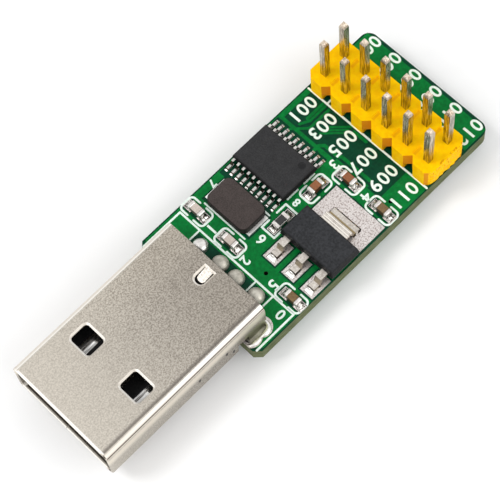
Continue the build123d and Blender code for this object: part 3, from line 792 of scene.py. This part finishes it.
under_cuts = [ring((HEADER.x + PIN_PITCH / 2 * row, PIN_PITCH / 2 * across), 0.95 + CLEARANCE)
              for row in SIDES for across in (-5, -3, -1, 1, 3, 5)]
for side in (1, -1):
    under_cuts += [rectangle((NEAR + 1.55, SLOT_Y * side), 3.3, 2.4),
                   ring((TAIL_X, 3.5 * side), 1.1), ring((TAIL_X, 1.0 * side), 0.98)]
under = [wide_area, rectangle((HEADER.x, 0), 9.6, 2 * edge_y - 0.5)]
back = flat_piece("copper_underneath", "lacquer_over_copper", under, under_cuts + via_rings,
                  BOARD_BOTTOM - COPPER_THICKNESS, COPPER_THICKNESS)
print("underneath:", len(back.data.polygons), "faces")

# %% [markdown]
# ## Printed lines
# White ink outlines the plug, the crystal, the chip and the resistor, and a
# long line runs beside the header. The lines are strokes with a round pen,
# laid a little higher than the copper.

# %% Printed lines
INK_LEVEL = BOARD_TOP + 0.002
INK_THICKNESS = 0.045
PEN = 0.2
FINE_PEN = 0.8 * PEN
PLUG_LINE = TAIL_X + 1.12

ink = stroke([(NEAR + 0.3, 7.12), (PLUG_LINE, 7.12), (PLUG_LINE, -7.22), (NEAR + 0.3, -7.22)], PEN)
for level in (4.56, -2.6, -4.7):
    ink += stroke([(0, level), (-1.25, level)], 0.85 * PEN, from_x=PLUG_LINE)
for from_x, width, *points in (
        (LINE_X, PEN, (0, 7.38), (0, -7.45)), (LINE_X, PEN, (0, 5.0), (0.5, 5.0)),
        (CHIP.x, FINE_PEN, (-0.28, 0.91), (-1.63, 0.91)),
        (CHIP.x, FINE_PEN, (0.52, 0.91), (1.87, 0.91)),
        (CRYSTAL.x, FINE_PEN, (-1.66, 6.13), (-1.66, 1.0)),
        (CRYSTAL.x, FINE_PEN, (1.5, 1.6), (1.5, 1.0)),
        (RESISTOR.x, PEN, (-0.62, 0.7), (-1.55, 0.7), (-1.55, -0.86), (-0.7, -0.86)),
        (RESISTOR.x, PEN, (0.4, 0.7), (1.55, 0.7), (1.55, -0.86), (0.7, -0.86))):
    ink += stroke(points, width, from_x=from_x)
lines = flat_piece("printed_lines", "white_print", ink, [], INK_LEVEL, INK_THICKNESS)
print("printed lines:", len(lines.data.polygons), "faces")

# %% [markdown]
# ## Copies set on points
# The outline round each small capacitor, the domes and cones of solder and the
# small fillets at the leads are each one shape, repeated. A Geometry Nodes
# tree sets a shape on points, turns each copy by a stored angle, and varies
# its size a little with a fixed seed, as hand-placed solder varies.

# %% A tree that sets copies on points
copier = bpy.data.node_groups.new("copies on points", "GeometryNodeTree")
for key, kind in (("Points", "Geometry"), ("Shape", "Object"), ("Variation", "Float"),
                  ("Seed", "Int"), ("Finish", "Material")):
    copier.interface.new_socket(key, in_out="INPUT", socket_type="NodeSocket" + kind)
copier.interface.new_socket("Copies", in_out="OUTPUT", socket_type="NodeSocketGeometry")
given = add(copier, "NodeGroupInput")
shape = add(copier, "GeometryNodeObjectInfo", {"Object": given["Shape"]})["Geometry"]
angle = add(copier, "GeometryNodeInputNamedAttribute", {"Name": "turn"}, data_type="FLOAT")
turned = add(copier, "ShaderNodeCombineXYZ", {2: angle})
variation = given["Variation"]
size = add(copier, "FunctionNodeRandomValue",
           {2: 1.0 - variation, 3: variation + 1.0, "Seed": given["Seed"]}, data_type="FLOAT")[1]
copies = add(copier, "GeometryNodeInstanceOnPoints",
             {"Points": given["Points"], "Instance": shape, "Rotation": turned, "Scale": size})
solid = add(copier, "GeometryNodeRealizeInstances", {"Geometry": copies})
finished = add(copier, "GeometryNodeSetMaterial", {"Geometry": solid, "Material": given["Finish"]})
feed(finished, copier.nodes.new("NodeGroupOutput").inputs["Copies"])
sockets = {item.name: item.identifier for item in copier.interface.items_tree
           if item.in_out == "INPUT"}


def plain_mesh(thing):
    """The evaluated shape of an object as a mesh of its own."""
    view = bpy.context.evaluated_depsgraph_get()
    return bpy.data.meshes.new_from_object(thing.evaluated_get(view), depsgraph=view)


def set_copies(name, shape_mesh, places, material, variation=0.0, seed=1):
    """One shape set on places: x, y and z in millimetres and a turn in degrees."""
    mesh = bpy.data.meshes.new(name)
    mesh.from_pydata([Vector(p[:3]) * MM for p in places], [], [])
    turns = mesh.attributes.new("turn", "FLOAT", "POINT")
    turns.data.foreach_set("value", [radians(p[3]) for p in places])
    carrier = in_scene(name, mesh)
    master = in_scene(name + " shape", shape_mesh)
    modifier = carrier.modifiers.new("copies", "NODES")
    modifier.node_group = copier
    for key, value in (("Shape", master), ("Variation", variation), ("Seed", seed),
                       ("Finish", materials[material])):
        modifier[sockets[key]] = value
    result = plain_mesh(carrier)
    result.name = name
    carrier.modifiers.remove(modifier)
    bpy.data.objects.remove(carrier)
    bpy.data.objects.remove(master)
    return new_piece(name, result, material)


print("tree inputs:", ", ".join(sockets))

# %% Printed outlines round the capacitors
HALF_LONG = 1.45
HALF_WIDE = 0.82
ROUND = 0.42
HALF_GAP = 0.38
STEPS = 5
loop = rounded((0, 0), 2 * HALF_LONG, 2 * HALF_WIDE, ROUND, STEPS)
right_end = loop[-STEPS - 1:] + loop[:STEPS + 1]
one_end = [(HALF_GAP, -HALF_WIDE)] + right_end + [(HALF_GAP, HALF_WIDE)]
other_end = [(-x, y) for x, y in one_end]
outline_mesh = sheet("capacitor outline", stroke(one_end, PEN, 3) + stroke(other_end, PEN, 3), [],
                     0, INK_THICKNESS)
lowest = board_low.y + HALF_LONG + PEN / 2 + 0.04  # keeps the ink on the board
capacitor_places = [(spot.x, max(spot.y, lowest), INK_LEVEL, 90 if number else 0)
                    for number, spot in enumerate(CAPACITORS)]
outlines = set_copies("capacitor_outlines", outline_mesh, capacitor_places, "white_print")
print(len(capacitor_places), "capacitor outlines,", len(outlines.data.polygons), "faces")

# %% [markdown]
# ## Plain numbers
# Beside each pin stands a plain number, and a single figure stands by some of
# the small parts. A text object gives the shape of each figure; it is made a
# mesh first and only then turned and moved, so that its place is in its mesh.

# %% Numbers
FIGURE_SHARE = 0.72  # a figure's height as a share of the text size
LABEL_HEIGHT = 1.3
TOP_LABEL_Y = 6.3


def figure(text, middle, height, degrees):
    """Closed flat mesh of a few figures, centred on a spot on the board."""
    curve = bpy.data.curves.new("figure", "FONT")
    for key, value in (("body", text), ("size", height / FIGURE_SHARE), ("align_x", "CENTER"),
                       ("align_y", "CENTER"), ("extrude", INK_THICKNESS / 2), ("offset", 0.035),
                       ("space_character", 1.15), ("resolution_u", 4)):
        setattr(curve, key, value)
    holder = in_scene("figure", curve)
    mesh = plain_mesh(holder)
    bpy.data.objects.remove(holder)
    move = Matrix.Translation(Vector((*middle, INK_LEVEL + INK_THICKNESS / 2)) * MM)
    mesh.transform(move @ Matrix.Rotation(radians(degrees), 4, "Z") @ Matrix.Scale(MM, 4))
    return mesh


figures = []
for row in range(6):
    level = TOP_LABEL_Y - PIN_PITCH * row
    for number, x in ((2 * row + 1, LINE_X - 1.95), (2 * row + 2, FAR - 1.62)):
        figures.append(figure(f"{number:03d}", (x, level), LABEL_HEIGHT, 180))
for text, x, y, height, degrees in (
        ("0", PLUG_LINE - 0.75, -6.4, 1.0, 90),
        ("1", CAPACITORS[4].x - 0.3, 3.9, 1.1, 180),
        ("2", CAPACITORS[5].x - 0.3, -0.45, 1.0, 180),
        ("3", CAPACITORS[1].x + 0.25, 0.3, 1.05, 180),
        ("4", CAPACITORS[1].x - 0.1, -4.05, 1.1, 180),
        ("5", CAPACITORS[3].x - 0.2, -3.95, 1.1, 180),
        ("6", RESISTOR.x - 2.4, -0.1, 1.0, 90),
        ("7", CRYSTAL.x + 0.2, 7.05, 0.8, 180),
        ("8", RESISTOR.x + 2.35, 0.1, 0.8, 90)):
    figures.append(figure(text, (x, y), height, degrees))
build = bmesh.new()
for mesh in figures:
    build.from_mesh(mesh)
bmesh.ops.remove_doubles(build, verts=build.verts, dist=0.000001)
numbers = new_piece("printed_numbers", mesh_from(build, "printed_numbers"), "white_print")
print("numbers:", len(figures), "texts,", len(numbers.data.polygons), "faces")

# %% [markdown]
# ## Solder
# Melted solder pulls itself into smooth shapes: a dome over each contact tail,
# a hollow cone round each tail under the board, and a small hollow wedge in
# front of each lead. All are lofted through a few sections, which are circles
# for the round ones. They take the place of the CAD model's plain cones.

# %% Solder shapes
def loft(sections, name="shape"):
    """A closed smooth mesh through sections with the same number of corners, in millimetres."""
    build = bmesh.new()
    rows = [[build.verts.new(corner) for corner in section] for section in sections]
    for first, second in zip(rows, rows[1:]):
        for k in range(len(first)):
            following = (k + 1) % len(first)
            build.faces.new((first[k], first[following], second[following], second[k]))
    build.faces.new(rows[0][::-1])
    build.faces.new(rows[-1])
    bmesh.ops.remove_doubles(build, verts=build.verts, dist=0.0005)
    for face in build.faces:
        face.smooth = True
    return mesh_from(build, name, MM)


def lathe(profile, steps):
    """A closed round mesh from pairs of radius and height, the last on the axis."""
    return loft([[(x, y, height) for x, y in ring((0, 0), radius, steps)]
                 for radius, height in profile])


def wedge(length, width, height, spread, steps=5, across=6):
    """A hollow wedge of solder that runs out from a lead's end along X."""
    sections = []
    for step in range(steps + 1):
        share = step / steps
        reach = length * share
        rise = height * (1 - share) ** 1.8 + 0.012
        half = width / 2 * (1 + spread * share)
        section = [(reach, -half, 0), (reach, half, 0)]
        for k in range(across + 1):
            side = 1 - 2 * k / across
            section.append((reach, side * half, rise * (1 - 0.55 * side * side)))
        sections.append(section)
    return loft(sections)


print("loft, lathe and wedge ready")

# %% Round solder joints
DOME = [(0.83, 0.0), (0.82, 0.12), (0.78, 0.3), (0.69, 0.48), (0.55, 0.61), (0.37, 0.69),
        (0.18, 0.725), (0, 0.735)]
CONE = [(0.86, 0.0), (0.74, -0.1), (0.62, -0.27), (0.53, -0.47), (0.47, -0.66), (0.4, -0.73),
        (0, -0.75)]
cone_mesh = lathe(CONE, 22)
dome_places = [(TAIL_X + 0.03, y - 0.1, BOARD_TOP, 40 * y) for y in CONTACT_YS]
domes = set_copies("solder_domes", lathe(DOME, 28), dome_places[1:], "solder", 0.02, 3)
lumpy_mesh = lathe(DOME, 28)
LUMPS_PER_METRE, LUMP_DEPTH = 1300, 0.13
for corner in lumpy_mesh.vertices:
    wave = noise.noise(corner.co * LUMPS_PER_METRE + Vector((5.2, 1.7, 8.3)))
    corner.co *= 1 - LUMP_DEPTH * (0.5 + 0.5 * wave)
lumpy_dome = set_copies("lumpy_dome", lumpy_mesh, dome_places[:1], "bright_solder")
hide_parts("contact_solder")
tail_places = [(TAIL_X, y, BOARD_BOTTOM, 25 * y) for y in CONTACT_YS]
tail_cones = set_copies("tail_solder_cones", cone_mesh, tail_places, "solder", 0.02, 4)
pins = [middle_of(f"header_pin_{number:02d}") for number in range(1, 13)]
pin_places = [(pin.x, pin.y, BOARD_BOTTOM, 30 * pin.y) for pin in pins]
pin_cones = set_copies("pin_solder_cones", cone_mesh, pin_places, "solder", 0.02, 5)
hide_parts("contact_solder")
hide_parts("contact_solder")
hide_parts("header_solder")
print(len(dome_places), "domes and", len(tail_places) + len(pin_places), "cones")

# %% Solder at the leads
LEAD_END = 3.19  # from the chip's middle to the ends of its leads
lead_spots = []
for step in range(10):
    level = CHIP.y + CHIP_PITCH * (step - 4.5)
    lead_spots += [(CHIP.x - LEAD_END, level, PAD_TOP, 180), (CHIP.x + LEAD_END, level, PAD_TOP, 0)]
set_copies("chip_lead_solder", wedge(0.26, 0.3, 0.12, 0.12), lead_spots, "chip_lead_metal", 0.05, 6)

PART_END = 0.76  # from a small part's middle to its ends
part_spots = []
for spot in CAPACITORS + [RESISTOR]:
    for side in (1, -1):
        if spot in (CAPACITORS[0], RESISTOR):
            part_spots.append((spot.x + PART_END * side, spot.y, PAD_TOP, 90 - 90 * side))
        else:
            part_spots.append((spot.x, spot.y + PART_END * side, PAD_TOP, 180 - 90 * side))
part_solder = set_copies("small_part_wedges", wedge(0.52, 0.76, 0.42, 0.12, 6, 8), part_spots,
                         "fillet_solder", 0.03, 7)
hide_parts("small_part_solder")
print("wedges:", len(lead_spots), "at the chip,", len(part_spots), "at the small parts")

# %% Solder at the regulator
foot_levels = [REGULATOR.y + REGULATOR_PITCH * step for step in FEET]
foot_spots = [(REGULATOR.x - 3.6, level, PAD_TOP, 180) for level in foot_levels]
set_copies("regulator_foot_solder", wedge(0.42, 0.84, 0.24, 0.1, 6, 8), foot_spots,
           "bright_solder", 0.06, 8)
# Thin dark sheets round the regulator's feet and tab: painted shade at their edges.
foot_shade_outlines = []
for level in foot_levels:
    foot_shade_outlines += stroke([(-2.6, 0.4), (-3.55, 0.4), (-3.55, -0.4), (-2.6, -0.4)], 0.1,
                    from_x=REGULATOR.x, from_y=level)
foot_shade_outlines += stroke([(2.7, 1.6), (3.56, 1.6), (3.56, -1.6), (2.7, -1.6)], 0.11,
                from_x=REGULATOR.x, from_y=REGULATOR.y)
flat_piece("foot_moats", "painted_dark_fillet", foot_shade_outlines, [], PAD_TOP + 0.002, 0.03)
# The solder at the tab's end and sides carries painted dark reflections.
tab_end = (REGULATOR.x + 3.49, REGULATOR.y, PAD_TOP, 0)
set_copies("regulator_tab_solder", wedge(0.2, 3.12, 0.2, 0.03, 5, 12), [tab_end], "painted_dark_fillet")
side_spots = [(REGULATOR.x + 3.2, REGULATOR.y + side * 1.54, PAD_TOP, 90 * side)
              for side in (1, -1)]
set_copies("regulator_side_solder", wedge(0.15, 0.66, 0.2, 0.15, 4, 6), side_spots,
           "painted_dark_fillet", 0.04, 9)
print("the regulator has", len(foot_spots) + len(side_spots) + 1, "wedges")

# %% [markdown]
# ## The crystal's rounded case
# The crystal's moulded case has wide round corners and a fine bevel round its
# top. It is lofted through three outlines inside the plain case of the CAD
# model, whose place it takes.

# %% The crystal's case
CASE_CORNER = 0.72
CASE_BEVEL, BEVEL_HEIGHT = 0.07, 0.08
case_low, case_high = edges_of("crystal_body")
case_size = case_high - case_low
sections = []
for bevel, level in ((0, case_low.z), (0, case_high.z - BEVEL_HEIGHT), (CASE_BEVEL, case_high.z)):
    length, width = case_size.x - 2 * bevel, case_size.y - 2 * bevel
    outline = rounded(CRYSTAL, length, width, CASE_CORNER - bevel)
    sections.append([(x, y, level) for x, y in outline])
case_mesh = loft(sections, "crystal_case")
for face in case_mesh.polygons:
    face.use_smooth = False
case = new_piece("crystal_case", case_mesh, "crystal_case")
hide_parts("crystal_body")
print("crystal's case:", len(case_mesh.polygons), "faces")

# %% [markdown]
# ## Solder round the plug's tabs
# The two tabs that lock the plug into the board stand in long slots, and each
# is held by two heaps of solder that run round the slot's outer half. A heap is
# a slightly flattened tube along a listed path, and grows and shrinks.

# %% Heaps of solder round the tabs
HEAP_LEVEL = PAD_TOP - 0.03
HEAP_FLATNESS = 0.8


def bead(path, corners=12):
    """A closed tube along a flat path of x, y and radius, level with the pads."""
    sections = []
    for number, (x, y, radius) in enumerate(path):
        before = Vector(path[max(number - 1, 0)][:2])
        after = Vector(path[min(number + 1, len(path) - 1)][:2])
        ahead = (after - before).normalized()
        left = Vector((-ahead.y, ahead.x))
        sections.append([(x + left.x * out, y + left.y * out, HEAP_LEVEL + HEAP_FLATNESS * up)
                         for out, up in ring((0, 0), radius, corners)])
    return loft(sections)


REAR_HEAP = [(1.14, -0.5, 0.03), (1.26, -0.3, 0.13), (1.3, 0.05, 0.2), (1.2, 0.38, 0.26),
             (0.95, 0.6, 0.31), (0.6, 0.7, 0.31), (0.25, 0.68, 0.24), (0.02, 0.62, 0.12),
             (-0.04, 0.6, 0.03)]
FRONT_HEAP = [(0.08, 0.62, 0.03), (0.0, 0.64, 0.14), (-0.3, 0.7, 0.24), (-0.65, 0.72, 0.27),
              (-1.0, 0.66, 0.24), (-1.25, 0.5, 0.16), (-1.36, 0.34, 0.08), (-1.4, 0.25, 0.02)]
build = bmesh.new()
for side in SIDES:
    for heap in (REAR_HEAP, FRONT_HEAP):
        build.from_mesh(bead([(SLOT_X + x, side * (SLOT_Y + y), r) for x, y, r in heap]))
heap_mesh = mesh_from(build, "tab_solder_heaps")
new_piece("tab_solder_heaps", heap_mesh, "bright_solder")
print("heaps:", len(heap_mesh.polygons), "faces")

# %% [markdown]
# ## The header's broken end
# Such headers come in long strips and are snapped to length, so one end of the
# moulding is torn and rough. The CAD housing is copied, its last 0.3
# millimetres are cut off and a rough block takes their place. Its points are
# only ever pushed inwards, so the header grows nowhere.

# %% The header cut to length
def uneven(x, y, size):
    """A steady uneven value from -1 to 1 for a spot."""
    return noise.noise(Vector((x / size, y / size, 3.7)))


CUT_DEPTH = 0.3
cut_y = housing_low.y + CUT_DEPTH
build = bmesh.new()
build.from_mesh(nodes["header_housing"].data)
bmesh.ops.remove_doubles(build, verts=build.verts, dist=0.0000005)
everything = build.verts[:] + build.edges[:] + build.faces[:]
bmesh.ops.bisect_plane(build, geom=everything, dist=0.0000001, plane_co=(0, cut_y * MM, 0),
                       plane_no=(0, -1, 0), clear_outer=True)
bmesh.ops.holes_fill(build, edges=[e for e in build.edges if e.is_boundary])
bmesh.ops.scale(build, vec=(1 / MM, 1 / MM, 1 / MM), verts=build.verts)
print("the header is cut at", round(cut_y, 3), "mm")

# %% The rough block at the broken end
ACROSS, UPWARD, LAYERS = 34, 18, 3
ROUGHNESS, RAGGED_EDGE = 0.62, 0.16
half_end = (housing_high.x - housing_low.x) / 2 - 0.6
layers = []
for depth in range(LAYERS + 1):
    layer = []
    out = CUT_DEPTH * depth / LAYERS
    ragged = RAGGED_EDGE * depth / LAYERS
    for v in range(UPWARD + 1):
        for u in range(ACROSS + 1):
            x = (2 * u / ACROSS - 1) * (half_end + CUT_DEPTH - out)
            z = housing_low.z + (housing_high.z - housing_low.z) * v / UPWARD
            rough = 0.5 + 0.5 * uneven(x, z, 0.32) + 0.35 * uneven(x + 9, z, 0.11)
            y = cut_y + 0.005 - out * (1 - ROUGHNESS * max(0.0, min(1.0, rough)))
            if u in (0, ACROSS):
                x *= 1 - ragged * abs(uneven(z + 4, y, 0.25))
            if v == UPWARD:
                z -= ragged * 1.6 * abs(uneven(x + 2, y, 0.2))
            layer.append(build.verts.new((HEADER.x + x, y, z)))
    layers.append(layer)


def spot(layer, u, v):
    """One point of the rough block."""
    return layers[layer][v * (ACROSS + 1) + u]


for layer, order in ((0, 1), (LAYERS, -1)):
    for v in range(UPWARD):
        for u in range(ACROSS):
            corners = [spot(layer, u + a, v + b) for a, b in ((0, 0), (1, 0), (1, 1), (0, 1))]
            build.faces.new(corners[::order])
rim = [(u, 0) for u in range(ACROSS)] + [(ACROSS, v) for v in range(UPWARD)]
rim += [(u, UPWARD) for u in range(ACROSS, 0, -1)] + [(0, v) for v in range(UPWARD, 0, -1)]
for layer in range(LAYERS):
    for here, there in zip(rim, rim[1:] + rim[:1]):
        build.faces.new((spot(layer, *here), spot(layer + 1, *here),
                         spot(layer + 1, *there), spot(layer, *there)))
housing_mesh = mesh_from(build, "broken_header", MM)
housing = new_piece("broken_header", housing_mesh, "header_plastic")
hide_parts("header_housing")
print("header:", len(housing_mesh.polygons), "faces")

# %% [markdown]
# ## Floor, background and light
# The object lies on a plain pale floor. Three soft lamps stand well away from
# it, and the white world fills the rest at about seven tenths of full strength.
# Camera and mirror rays see the world at full strength, so the background is
# white without more light on the object.

# %% Floor
FLOOR_SIZE = 3.0
FLOOR_LEVEL = -0.0001
floor_mesh = bpy.data.meshes.new("floor")
corners = [(x, y, 0) for x, y in rectangle((0, 0), FLOOR_SIZE, FLOOR_SIZE)]
floor_mesh.from_pydata(corners, [], [(0, 1, 2, 3)])
start_material("floor", Roughness=0.9, Specular_IOR_Level=0.0, Base_Color=(0.93, 0.93, 0.93, 1))
floor_mesh.materials.append(materials["floor"])
floor = in_scene("floor", floor_mesh)
floor.location = (0, 0, FLOOR_LEVEL)
floor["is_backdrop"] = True
print("floor at", FLOOR_LEVEL, "m")

# %% Lamps and world
LAMP_DISTANCE = 0.5
WORLD_LIGHT = 0.72


def lamp(name, direction, size, power):
    """A square area lamp that looks at the object from a direction."""
    data = bpy.data.lights.new(name, "AREA")
    data.energy = power
    data.size = size
    made = in_scene(name, data)
    made.location = Vector(direction).normalized() * LAMP_DISTANCE
    made.rotation_euler = Vector(direction).to_track_quat("Z", "Y").to_euler()


lamp("key", (-0.42, 0.34, 0.84), 0.16, 0.8)
lamp("side", (0.25, -0.8, 0.6), 0.42, 0.9)
lamp("front", (-0.9, -0.15, 0.5), 0.3, 0.45)

world = bpy.data.worlds.new("world")
bpy.context.scene.world = world
world.use_nodes = True
path = add(world.node_tree, "ShaderNodeLightPath")
mirrored = maths("MAXIMUM", path["Is Glossy Ray"], path["Is Transmission Ray"])
seen = maths("MAXIMUM", path["Is Camera Ray"], mirrored)
background = world.node_tree.nodes["Background"]
background.inputs["Color"].default_value = (1, 1, 1, 1)
feed(mapped(seen, WORLD_LIGHT, 1.0), background.inputs["Strength"])

# %% Sizes and finish
for name, box in (("cad", cad_box), ("dressed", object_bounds())):
    print(name, "box", [[round(c / MM, 3) for c in corner] for corner in box])
